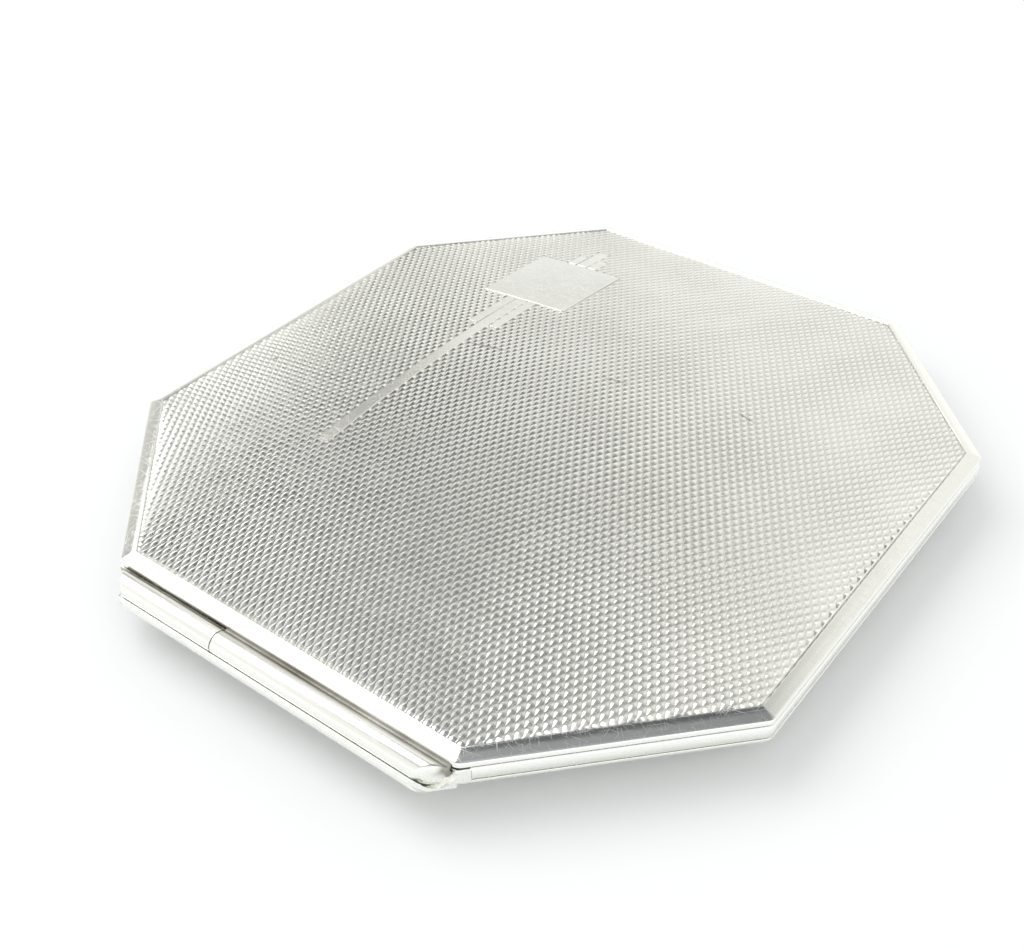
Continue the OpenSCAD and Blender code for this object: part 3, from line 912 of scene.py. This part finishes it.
# %% A swept profile
def swept(name, rings, sharp=38):
    """A closed piece from rings of (x, y, z) points, each ring of one count. The ends close on one point."""
    bm = bmesh.new()
    loops = [[bm.verts.new(point) for point in ring] for ring in rings]
    for a, b in zip(loops, loops[1:]):
        for k in range(len(a)):
            n = (k + 1) % len(a)
            bm.faces.new((a[k], a[n], b[n], b[k])).smooth = True
    for ring, points in ((loops[0], rings[0]), (loops[-1], rings[-1])):
        tip = bm.verts.new(np.mean(points, axis=0))
        for k, vert in enumerate(ring):
            bm.faces.new((vert, ring[(k + 1) % len(ring)], tip)).smooth = True
    bmesh.ops.recalc_face_normals(bm, faces=bm.faces)
    return finished(bm, name, sharp)


def round_ring(radius, z, steps=128):
    """One ring about the middle. Radius and z may each be a number or one value for every step."""
    turns = np.arange(steps) * 2 * math.pi / steps
    return np.column_stack([radius * np.cos(turns), radius * np.sin(turns), np.full(steps, 1.0) * z])


# %% [markdown]
# ## Pressed powder in its pan
# Loose powder is pressed with a little oil into a shallow pan of thin aluminium, by a stamp that leaves a
# pattern on it. Here it is a plain lattice of lines 3.2 mm apart inside a smooth ring. The puff has worn the
# lattice away a little right of the middle. The pan's rim is rolled over, so that it does not cut the puff.

# %% Powder finishes
powder_face, tree, shader, place = new_material("pressed_powder")
grains = add(tree, "ShaderNodeTexNoise", {"Vector": place, "Scale": 7.0, "Detail": 4.0}).outputs["Fac"]
rubbed = clouds(tree, place, 6, 0.4, 0.62)
powder_tint = blend_colour(tree, rubbed, linear("#E6C4A6"), linear("#DDB595"))
speckle = add(tree, "ShaderNodeMapRange", {0: grains, 1: 0.52, 2: 0.75, 4: 0.5}).outputs[0]
tree.links.new(blend_colour(tree, speckle, powder_tint, linear("#CFA283")), shader.inputs["Base Color"])
shader.inputs["Roughness"].default_value = 0.95
shader.inputs["Specular IOR Level"].default_value = 0.2
bump = add(tree, "ShaderNodeBump", {"Height": grains, "Strength": 0.6, "Distance": 0.05 * MM})
tree.links.new(bump.outputs[0], shader.inputs["Normal"])
pan_aluminium = drawn_metal("pan_aluminium", "#D9DADB", "#C3C5C8", 0.3)

# %% Pan and powder
pan_low, pan_high = (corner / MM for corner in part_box("refill_pan"))
PAN_R = pan_high.x
PAN_WALL = 0.25
rolled = [
    (PAN_R - PAN_WALL / 2 + PAN_WALL / 2 * math.cos(t), pan_high.z - PAN_WALL / 2 * (1 - math.sin(t)))
    for t in np.radians(np.linspace(0, 180, 9))
]
pan_profile = (
    [
        (1.0, pan_low.z),
        (PAN_R - 0.3, pan_low.z),
        (PAN_R - 0.08, pan_low.z + 0.06),
        (PAN_R, pan_low.z + 0.25),
    ]
    + rolled
    + [
        (PAN_R - PAN_WALL, pan_low.z + 0.22),
        (PAN_R - PAN_WALL - 0.02, pan_low.z + 0.2),
        (1.0, pan_low.z + 0.2),
    ]
)
refill = swept("aluminium_pan", [round_ring(r, z) for r, z in pan_profile])
dress(refill, "refill_pan", pan_aluminium)

cake_low, cake_high = (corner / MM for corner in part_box("powder_cake"))
CAKE_R = cake_high.x
LATTICE = 3.2  # Distance between two lines of the stamped lattice
LATTICE_DEPTH = 0.22
PLAIN_RING = 1.8  # Smooth ring outside the lattice
CAKE_STEPS = 300


def cake_top(points):
    """Height of the pressed powder, with its lattice, smooth ring and worn patch."""
    x, y = points[:, 0], points[:, 1]
    reach = np.hypot(x, y)
    across = (x + y) / math.sqrt(2) / LATTICE
    along = (x - y) / math.sqrt(2) / LATTICE
    nearest = np.minimum(abs(across - np.round(across)), abs(along - np.round(along))) * LATTICE
    groove = np.clip(1 - nearest / 0.42, 0, 1) ** 1.5
    inside = np.clip((CAKE_R - PLAIN_RING - reach) / 0.4, 0, 1)
    wear = np.exp(-(((x - 5) / 8.5) ** 2 + ((y + 3) / 6.5) ** 2))
    edge = np.clip((reach - CAKE_R + 0.5) / 0.5, 0, 1) ** 2 * 0.12
    return cake_high.z - LATTICE_DEPTH * groove * inside * (1 - 0.85 * wear) - 0.28 * wear - edge


cake_rings = [round_ring(CAKE_R - 0.03, cake_low.z, CAKE_STEPS)]
for radius in np.linspace(CAKE_R - 0.03, 0.3, 96):
    ring = round_ring(radius, 0, CAKE_STEPS)
    ring[:, 2] = cake_top(ring)
    cake_rings.append(ring)
cake_rings.insert(0, round_ring(0.3, cake_low.z, CAKE_STEPS))
cake = swept("pressed_cake", cake_rings, sharp=60)
dress(cake, "powder_cake", powder_face)

# %% [markdown]
# ## The puff
# A puff is two discs sewn together at the edge with a little wadding between them. The face that touches
# the skin is velour, a knit with a dense cut pile. The back is satin, gathered slightly by the stitching, and
# it carries a ribbon for the fingers. Velour looks soft because its pile scatters light at grazing angles,
# which is what the shader's sheen is for. Satin shines along its long floating threads.


# %% Cloth finishes
def cloth(name, pale, deep, thread, depth, roughness, sheen, sheen_rough=0.4):
    """Woven or knitted cloth. Thread is how many threads or tufts there are in a millimetre, on X and Y."""
    material, tree, shader, place = new_material(name)
    laid = add(tree, "ShaderNodeVectorMath", {0: place, 1: (*thread, 1)}, operation="MULTIPLY").outputs[0]
    tufts = add(tree, "ShaderNodeTexNoise", {"Vector": laid, "Scale": 1.0, "Detail": 2.0}).outputs["Fac"]
    stroked = clouds(tree, place, 5, 0.38, 0.62)
    tone = blend_colour(tree, stroked, linear(pale), linear(deep))
    # Painted shade: the cloth turns darker where the tuft noise, which also makes the bump, is low, in the hollows
    # of the pile and between threads
    painted_hollow_shade = add(tree, "ShaderNodeMapRange", {0: tufts, 1: 0.62, 2: 0.35, 4: 0.35}).outputs[0]
    tree.links.new(blend_colour(tree, painted_hollow_shade, tone, linear("#9C6F66")), shader.inputs["Base Color"])
    tree.links.new(sums(tree, roughness, (tufts, 0.1)), shader.inputs["Roughness"])
    shader.inputs["Sheen Weight"].default_value = sheen
    shader.inputs["Sheen Roughness"].default_value = sheen_rough
    shader.inputs["Specular IOR Level"].default_value = 0.35
    bump = add(tree, "ShaderNodeBump", {"Height": tufts, "Strength": 0.7, "Distance": depth * MM})
    tree.links.new(bump.outputs[0], shader.inputs["Normal"])
    return material


# Velour pile is about 0.1 mm thick, drawn 0.25 mm. Satin threads are 0.08 mm, drawn 0.16 mm.
velour = cloth("cotton_velour", "#F0D6CB", "#E8C7BA", (4, 4), 0.12, 0.9, 0.6)
satin = cloth("rayon_satin", "#EFC9C1", "#E5B6AD", (0.6, 6), 0.025, 0.34, 0.25, 0.3)
ribbon = cloth("grosgrain_ribbon", "#ECC1B8", "#E2AFA6", (3.2, 0.5), 0.05, 0.42, 0.2, 0.3)

# %% Puff
puff_low, puff_high = (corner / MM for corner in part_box("puff_pad"))
back_low, back_high = (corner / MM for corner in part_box("puff_back"))
strap_low, strap_high = (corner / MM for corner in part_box("puff_strap"))
PUFF_R = puff_high.x
PUFF_H = puff_high.z - puff_low.z
PUFF_STEPS = 288
GATHERS = 48  # Small folds round the sewn edge
SEAM_IN = 0.95  # How far the sewn edge stands in from the fullest part of the side
turns = np.arange(PUFF_STEPS) * 2 * math.pi / PUFF_STEPS
gathered = 0.5 + 0.5 * np.cos(GATHERS * turns + 0.8 * np.sin(3 * turns))
uneven = np.sin(7 * turns) * np.sin(11 * turns + 1)

puff_rings = []
for k in np.linspace(-90, 90, 15):
    bulge = math.cos(math.radians(k)) ** 0.7
    height = puff_low.z + PUFF_H * (0.5 + 0.5 * math.sin(math.radians(k)))
    top = max(math.sin(math.radians(k)), 0)
    radius = PUFF_R - SEAM_IN + 0.87 * bulge - 0.12 * top * gathered + 0.06 * uneven * bulge
    puff_rings.append(round_ring(radius, height, PUFF_STEPS))
crowns = np.linspace(0.97, 0.02, 14)
face_side = [round_ring((PUFF_R - SEAM_IN) * c, puff_low.z, PUFF_STEPS) for c in reversed(crowns)]
back_side = [round_ring((PUFF_R - SEAM_IN) * c, puff_high.z, PUFF_STEPS) for c in crowns]
puff = swept("puff_cushion", face_side + puff_rings + back_side)
dress(puff, "puff_pad", velour)

BACK_R = back_high.x
SATIN_T = 0.1
back_rings = {1: [], -1: []}
for c in np.linspace(1, 0.02, 26):
    crown = back_low.z + 0.03 + (back_high.z - back_low.z - SATIN_T - 0.06) * (1 - c**4) ** 0.8
    gather = 0.05 * gathered * np.clip((c - 0.72) / 0.28, 0, 1)
    for side in (1, -1):
        height = crown + gather + (SATIN_T / 2) * (1 + side)
        back_rings[side].append(round_ring(BACK_R * c - 0.3, height, PUFF_STEPS))
back = swept("satin_back", back_rings[-1][::-1] + back_rings[1])
dress(back, "puff_back", satin)

PIPING_RINGS = 200
PIPING_SIDES = 10
PIPING_R = 0.2
bm = bmesh.new()
loops = []
for k in range(PIPING_RINGS):
    turn = 2 * math.pi * k / PIPING_RINGS
    loops.append([
        bm.verts.new((
            (BACK_R - 0.22 + PIPING_R * math.cos(t)) * math.cos(turn),
            (BACK_R - 0.22 + PIPING_R * math.cos(t)) * math.sin(turn),
            back_low.z + 0.12 + PIPING_R * math.sin(t) * (1 + 0.12 * math.sin(40 * turn)),
        ))
        for t in np.radians(np.arange(0, 360, 360 / PIPING_SIDES))
    ])
for k in range(PIPING_RINGS):
    a, b = loops[k], loops[(k + 1) % PIPING_RINGS]
    for i in range(PIPING_SIDES):
        j = (i + 1) % PIPING_SIDES
        bm.faces.new((a[i], a[j], b[j], b[i])).smooth = True
bmesh.ops.recalc_face_normals(bm, faces=bm.faces)
piping = finished(bm, "puff_piping", 80)
piping.data.materials.append(satin)
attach(piping, "puff")

# %% Ribbon and its stitches
RIBBON_T = 0.11
RIBBON_L, RIBBON_W = strap_high.x, strap_high.y  # Half of each


def ribbon_z(x):
    """The ribbon lies flat where it is sewn down at both ends and stands up a little between."""
    free = np.clip((RIBBON_L - 2.6 - abs(x)) / 3.5, 0, 1)
    return strap_low.z - 0.02 + (strap_high.z - strap_low.z - RIBBON_T) * free**2 * (3 - 2 * free)


ribbon_rings = []
for x in np.linspace(-RIBBON_L, RIBBON_L, 90):
    z = ribbon_z(x)
    ys = np.linspace(-RIBBON_W, RIBBON_W, 9)
    lower = [(x, y, z + 0.02 * (y / RIBBON_W) ** 2) for y in ys]
    upper = [(x, y, z + RIBBON_T + 0.02 * (y / RIBBON_W) ** 2) for y in reversed(ys)]
    ribbon_rings.append(np.array(lower + upper))
strap = swept("ribbon_strap", ribbon_rings, 60)
dress(strap, "puff_strap", ribbon)

bm = bmesh.new()
STITCH = 0.75
for end in (-1, 1):
    for y in np.arange(-RIBBON_W + 0.5, RIBBON_W - 0.4, STITCH):
        made = bmesh.ops.create_uvsphere(bm, u_segments=8, v_segments=6, radius=1)["verts"]
        bmesh.ops.scale(bm, vec=(0.08, 0.26, 0.06), verts=made)
        place = (end * (RIBBON_L - 0.9), y + 0.2, float(ribbon_z(RIBBON_L)) + RIBBON_T + 0.015)
        bmesh.ops.translate(bm, vec=place, verts=made)
for face in bm.faces:
    face.smooth = True
stitches = finished(bm, "ribbon_stitches", 80)
stitches.data.materials.append(satin)
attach(stitches, "puff")

# %% [markdown]
# ## The mirror
# A small mirror is plate glass, silvered behind, with a bevel ground round its front. Light that crosses the
# bevel is bent, which draws a bright frame inside the real one. It is simplest to make the whole plate
# reflect like its silvered back, and to give the bevel real slope. A card behind it takes up the play.

# %% Mirror finishes
silvered_glass, tree, shader, place = new_material("silvered_glass")
foxing = clouds(tree, place, 5, 0.56, 0.8, 5)
tree.links.new(
    blend_colour(tree, foxing, linear("#EDF2EF"), linear("#D9DCD2")), shader.inputs["Base Color"]
)
smudge = clouds(tree, place, 8, 0.45, 0.75, 4)
hairs = scratches(tree, place, (25, 140), fineness=6, amount=0.04)
tree.links.new(sums(tree, 0.015, (smudge, 0.05), (hairs, 0.06)), shader.inputs["Roughness"])
shader.inputs["Metallic"].default_value = 1

grey_card, tree, shader, place = new_material("grey_card")
fibres = add(tree, "ShaderNodeVectorMath", {0: place, 1: (2.5, 9, 3)}, operation="MULTIPLY").outputs[0]
pulp = add(tree, "ShaderNodeTexNoise", {"Vector": fibres, "Scale": 1.0, "Detail": 5.0}).outputs["Fac"]
tree.links.new(blend_colour(tree, pulp, linear("#57544F"), linear("#7C776E")), shader.inputs["Base Color"])
shader.inputs["Roughness"].default_value = 0.9
bump = add(tree, "ShaderNodeBump", {"Height": pulp, "Strength": 0.5, "Distance": 0.04 * MM})
tree.links.new(bump.outputs[0], shader.inputs["Normal"])

# %% Mirror and card
glass_low, glass_high = (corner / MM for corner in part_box("mirror_glass"))
card_low, card_high = (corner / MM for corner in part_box("mirror_pad"))


def plate(name, profile, sharp):
    """An octagonal plate from (inset, z) pairs, closed on both faces."""
    rings = [np.column_stack([outline(i), np.full(len(outline(i)), z)]) for i, z in profile]
    return swept(name, rings, sharp)


glass_inset = HALF_W - glass_high.x
card_inset = HALF_W - card_high.x
BEVEL_W = 3.2
glass = plate(
    "bevelled_mirror",
    [
        (glass_inset + BEVEL_W + 12, glass_low.z),
        (glass_inset + BEVEL_W, glass_low.z),
        (glass_inset + 0.05, glass_low.z + 0.4),
        (glass_inset, glass_low.z + 0.45),
        (glass_inset, glass_high.z),
        (glass_inset + 12, glass_high.z),
    ],
    5,
)
dress(glass, "mirror_glass", silvered_glass)
card = plate(
    "packing_card",
    [
        (card_inset + 10, card_low.z),
        (card_inset + 0.03, card_low.z),
        (card_inset, card_low.z + 0.06),
        (card_inset, card_high.z - 0.06),
        (card_inset + 0.03, card_high.z),
        (card_inset + 10, card_high.z),
    ],
    50,
)
dress(card, "mirror_pad", grey_card)

# %% [markdown]
# ## Floor and light
# Small silver is photographed on white, inside a tent of soft light. What the metal shows is the tent: a
# bright horizon, a duller roof, and one big window of light over the left end of the hinge. The window also
# throws the soft shadow to the right. The brightness of each wall was tuned for the main view of the closed
# case, so in other views the lid may look flatter or brighter than it should.

# %% Floor
floor_size = 1.6
floor_mesh = bpy.data.meshes.new("floor")
floor_mesh.from_pydata(
    [(x * floor_size, y * floor_size, 0) for x, y in ((-1, -1), (1, -1), (1, 1), (-1, 1))],
    [],
    [(0, 1, 2, 3)],
)
floor = bpy.data.objects.new("floor", floor_mesh)
bpy.context.collection.objects.link(floor)
floor.location.z = -0.02 * MM
white_card, tree, shader, place = new_material("white_card")
shader.inputs["Base Color"].default_value = linear("#F2F3F4")
shader.inputs["Roughness"].default_value = 0.7
floor_mesh.materials.append(white_card)

# %% Light
WINDOW_FROM = Vector((-0.58, -0.05, 0.81)).normalized()
window_data = bpy.data.lights.new("window", "AREA")
window_data.shape = "RECTANGLE"
window_data.size = 0.55
window_data.size_y = 0.55
window_data.energy = 1.9
window_light = bpy.data.objects.new("window", window_data)
bpy.context.collection.objects.link(window_light)
window_light.location = WINDOW_FROM * 0.7
window_light.rotation_mode = "QUATERNION"
window_light.rotation_quaternion = WINDOW_FROM.to_track_quat("Z", "Y")

fill_data = bpy.data.lights.new("ceiling", "AREA")
fill_data.shape = "DISK"
fill_data.size = 1.2
fill_data.energy = 1.5
fill_data.color = (0.97, 0.985, 1.0)
fill = bpy.data.objects.new("ceiling", fill_data)
bpy.context.collection.objects.link(fill)
fill.location = (0, 0, 0.9)
fill.visible_glossy = False

# %% The tent
world = bpy.data.worlds.new("tent")
bpy.context.scene.world = world
world.use_nodes = True
tree = world.node_tree
direction = add(tree, "ShaderNodeTexCoord").outputs["Generated"]
split = add(tree, "ShaderNodeSeparateXYZ", {0: direction})


def wall(*stops):
    """One side of the tent, as (height, brightness) pairs from the horizon to the roof."""
    tinted = []
    for height, bright in stops:
        red, blue = (1.0, 1.02) if height < 0.25 else (1.0, 0.965) if height < 0.78 else (0.955, 1.03)
        tinted.append((height, (bright * red, bright, bright * blue, 1)))
    return add(tree, "ShaderNodeValToRGB", {0: split.outputs["Z"]}, stops=tinted).outputs[0]


def facing(azimuth, full, none):
    """1 within full degrees of an azimuth, falling to 0 at none degrees from it."""
    level = add(tree, "ShaderNodeVectorMath", {0: direction, 1: (1, 1, 0)}, operation="MULTIPLY").outputs[0]
    level = add(tree, "ShaderNodeVectorMath", {0: level}, operation="NORMALIZE").outputs[0]
    turn = math.radians(azimuth)
    ahead = (math.cos(turn), math.sin(turn), 0)
    along = add(
        tree, "ShaderNodeVectorMath", {0: level, 1: ahead}, operation="DOT_PRODUCT"
    ).outputs["Value"]
    ends = {1: math.cos(math.radians(none)), 2: math.cos(math.radians(full))}
    return add(tree, "ShaderNodeMapRange", {0: along, **ends}).outputs[0]


open_side = wall(
    (0.0, 1.14), (0.15, 1.12), (0.30, 1.06), (0.45, 0.95), (0.60, 0.98), (0.69, 0.98), (0.76, 0.66),
    (0.82, 0.44), (0.87, 0.28), (0.93, 0.24), (1.0, 0.36),
)
back_side = wall(
    (0.0, 1.28), (0.14, 1.24), (0.30, 0.72), (0.44, 0.95), (0.60, 1.35), (0.69, 1.35), (0.76, 0.95),
    (0.82, 0.52), (0.87, 0.30), (0.93, 0.28), (1.0, 0.40),
)
left_side = wall(
    (0.0, 1.16), (0.15, 1.10), (0.30, 0.70), (0.46, 0.42), (0.60, 0.54), (0.69, 0.80), (0.76, 0.80),
    (0.82, 0.60), (0.87, 0.42), (0.93, 0.40), (1.0, 0.46),
)
front_side = wall(
    (0.0, 1.30), (0.30, 1.35), (0.60, 1.30), (0.80, 1.15), (0.90, 0.60), (1.0, 0.50)
)
tent = add(tree, "ShaderNodeMix", {0: facing(119, 13, 20), 6: open_side, 7: back_side}, data_type="RGBA")
for azimuth, full, none, side in ((158, 19, 26, left_side), (-42, 35, 60, front_side)):
    tent = add(
        tree,
        "ShaderNodeMix",
        {0: facing(azimuth, full, none), 6: tent.outputs[2], 7: side},
        data_type="RGBA",
    )

# A dark patch in the roof, put where the lid's front right border mirrors it towards the main camera. It is
# there for that one view. It is not the camera's own reflection, which would be on the camera's side.
PATCH_AT = Vector((-0.205, 0.358, 0.910)).normalized()
toward = add(
    tree, "ShaderNodeVectorMath", {0: direction, 1: PATCH_AT}, operation="DOT_PRODUCT"
).outputs["Value"]
patch = add(
    tree,
    "ShaderNodeMapRange",
    {0: toward, 1: math.cos(math.radians(19)), 2: math.cos(math.radians(8)), 4: 0.85},
).outputs[0]
tent = add(
    tree, "ShaderNodeMix", {0: patch, 6: tent.outputs[2], 7: (0.06, 0.065, 0.07, 1)}, data_type="RGBA"
)
tree.links.new(tent.outputs[2], tree.nodes["Background"].inputs["Color"])
tree.nodes["Background"].inputs["Strength"].default_value = 1.0

scene = bpy.context.scene
scene.view_settings.view_transform = "Standard"
scene.view_settings.look = "None"
